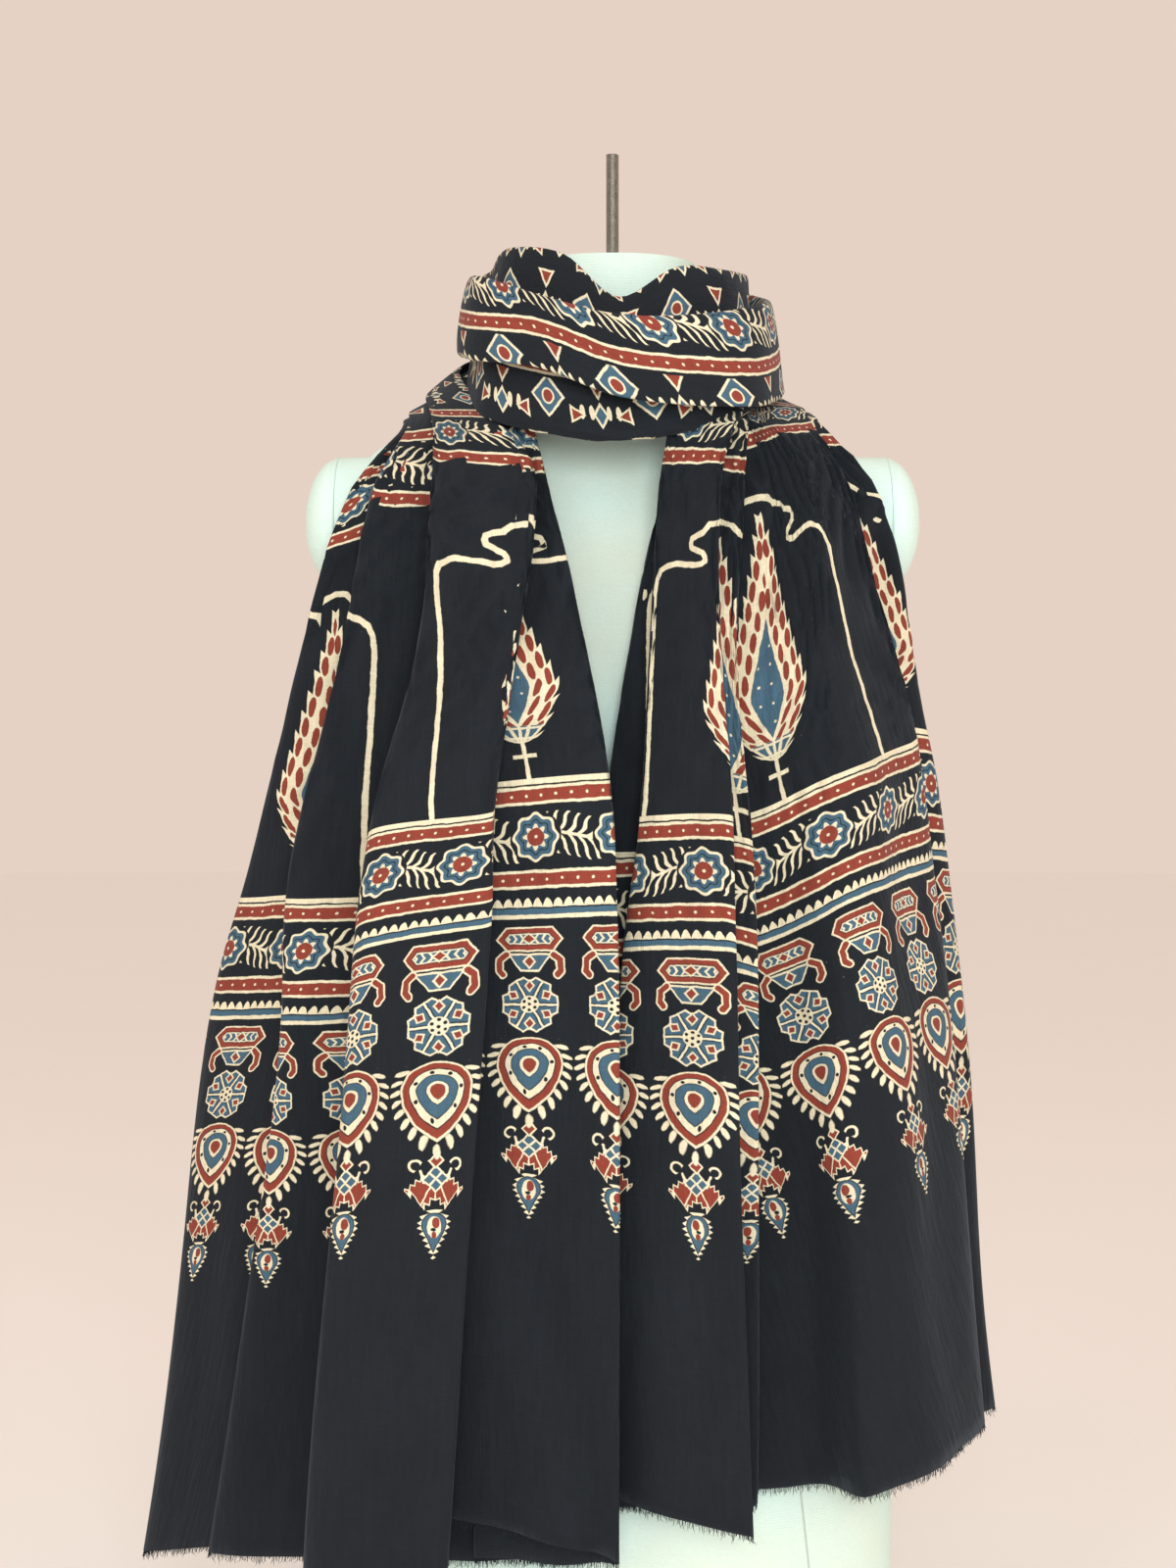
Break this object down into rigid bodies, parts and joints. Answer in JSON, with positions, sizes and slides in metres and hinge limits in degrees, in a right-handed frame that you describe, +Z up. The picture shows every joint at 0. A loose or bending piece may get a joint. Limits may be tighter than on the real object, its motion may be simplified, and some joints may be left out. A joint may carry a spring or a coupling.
{
  "type": "ajrakh dupatta on a dress form",
  "caption": "Block-printed black cotton dupatta wound round the neck of a plain canvas dress form, both ends hanging in deep folds down the front.",
  "frame": {"origin": "centre of the dress form's flat base", "axes": "+Z up through the neck, -Y towards the front of the form, +X to the right as seen from the front"},
  "size_m": [0.5608, 0.3036, 0.9818],
  "materials": {
    "printed_cotton": "plain-weave cotton, block-printed black, madder red, indigo and cream",
    "form_canvas": "pale canvas stretched over padding, sewn seams",
    "stud_steel": "threaded steel"
  },
  "bodies": {
    "root": {"ajrakh_cloth": "printed_cotton", "dress_form": "form_canvas", "arm_cap_left": "form_canvas", "arm_cap_right": "form_canvas", "neck_stud": "stud_steel"}
  },
  "joints": []
}
